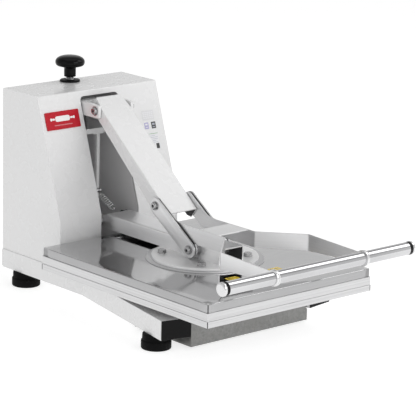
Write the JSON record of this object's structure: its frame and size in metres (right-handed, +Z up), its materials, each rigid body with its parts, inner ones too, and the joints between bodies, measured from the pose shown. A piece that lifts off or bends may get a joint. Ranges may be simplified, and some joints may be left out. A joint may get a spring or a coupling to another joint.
{
  "type": "dough press",
  "caption": "Countertop toggle press that flattens dough between a hinged upper platen and a fixed lower platen, worked by a cross handle.",
  "frame": {"origin": "centre of the bounding footprint, on the surface the feet stand on", "axes": "+Z up; the operator stands at -Y; +X to the operator's right; X = 0 is the middle plane"},
  "size_m": [0.538, 0.884, 0.5064],
  "materials": {
    "white_paint": "gloss powder coat",
    "white_panel": "gloss powder coat",
    "dark_frame": "satin paint",
    "satin_stainless": "fine linear brush",
    "mirror_stainless": "polished sheet",
    "machined_aluminium": "milled, long fine lines",
    "satin_disc": "turned satin",
    "grey_ring": "matte grey",
    "bolt_steel": "bright zinc",
    "spring_steel": "zinc plated wire",
    "bronze_bush": "oiled sintered bronze",
    "chrome": "polished",
    "black_gloss": "gloss moulded",
    "black_plastic": "matte moulded",
    "black_rubber": "matte",
    "galvanised": "spangled zinc",
    "heater_sheath": "oxidised",
    "insulation": "fibrous board",
    "red_badge": "gloss",
    "label": "printed film"
  },
  "bodies": {
    "root": {"housing_shell": "white_paint", "back_panel": "white_panel", "back_screws": "bolt_steel", "inner_frame_left": "dark_frame", "inner_frame_right": "dark_frame", "cross_bar": "white_paint", "guide_post": "white_paint", "cord_gland": "black_plastic", "knob_flange": "black_plastic", "hinge_shaft": "bolt_steel", "shaft_collars": "bolt_steel", "spring_anchor_bar": "bolt_steel", "return_spring": "spring_steel", "base_body": "white_paint", "base_leg_left": "white_paint", "base_leg_right": "white_paint", "leg_plugs": "black_plastic", "foot_mount_plates": "dark_frame", "rubber_feet": "black_rubber", "foot_bolts": "bolt_steel", "underside_box": "galvanised", "lower_platen": "machined_aluminium", "badge_plate": "red_badge", "face_labels": "label"},
    "knob": {"adjuster_knob": "black_gloss", "adjuster_screw": "bolt_steel"},
    "block": {"clevis_block": "white_paint", "upper_pivot_bolts": "bolt_steel", "upper_pivot_washers": "bolt_steel"},
    "platen": {"platen_arm": "satin_stainless", "arm_mount_block": "machined_aluminium", "pivot_spacers": "bolt_steel", "lower_pivot_bolts": "bolt_steel", "lower_pivot_washers": "bolt_steel", "pressure_disc": "satin_disc", "disc_ring": "grey_ring", "disc_bolts": "bolt_steel", "upper_platen_cover": "mirror_stainless", "upper_platen_plate": "machined_aluminium", "heating_element": "heater_sheath", "insulation_board": "insulation", "cover_labels": "label"},
    "handle": {"handle_plate_left": "satin_stainless", "handle_plate_right": "satin_stainless", "handle_web": "satin_stainless", "crank_link_left": "satin_stainless", "crank_link_right": "satin_stainless", "link_spacers": "bolt_steel", "mid_pivot_bolts": "bolt_steel", "mid_pivot_washers": "bolt_steel", "mid_pivot_nuts": "bolt_steel", "handle_bar": "chrome", "bar_end_caps": "chrome", "bar_rings": "black_plastic", "bar_collars": "satin_stainless"},
    "strut": {"strut": "white_paint", "strut_bushes": "bronze_bush"}
  },
  "joints": [
    {"name": "knob_turn", "type": "hinge", "parent": "root", "child": "knob", "pos_m": [0, 0.408, 0.457], "axis": [0, 0, 1], "range_deg": [-360, 360]},
    {"name": "block_slide", "type": "slide", "parent": "root", "child": "block", "axis": [0, 0, 1], "range_m": [-0.0025, 0.0025]},
    {"name": "platen_lift", "type": "hinge", "parent": "root", "child": "platen", "pos_m": [0, 0.25, 0.159], "axis": [-1, 0, 0], "range_deg": [0, 4.4]},
    {"name": "handle_swing", "type": "hinge", "parent": "platen", "child": "handle", "pos_m": [0, -0.076, 0.1635], "axis": [-1, 0, 0], "range_deg": [0, 17.64]},
    {"name": "strut_fold", "type": "hinge", "parent": "handle", "child": "strut", "pos_m": [0, 0.038, 0.238], "axis": [1, 0, 0], "range_deg": [0, 28.6]}
  ],
  "couplings": [
    {"joint": "knob_turn", "follows": "block_slide", "rad_per_m": 2513.3},
    {"joint": "handle_swing", "follows": "platen_lift", "ratio": 4},
    {"joint": "strut_fold", "follows": "platen_lift", "ratio": 6.475}
  ]
}
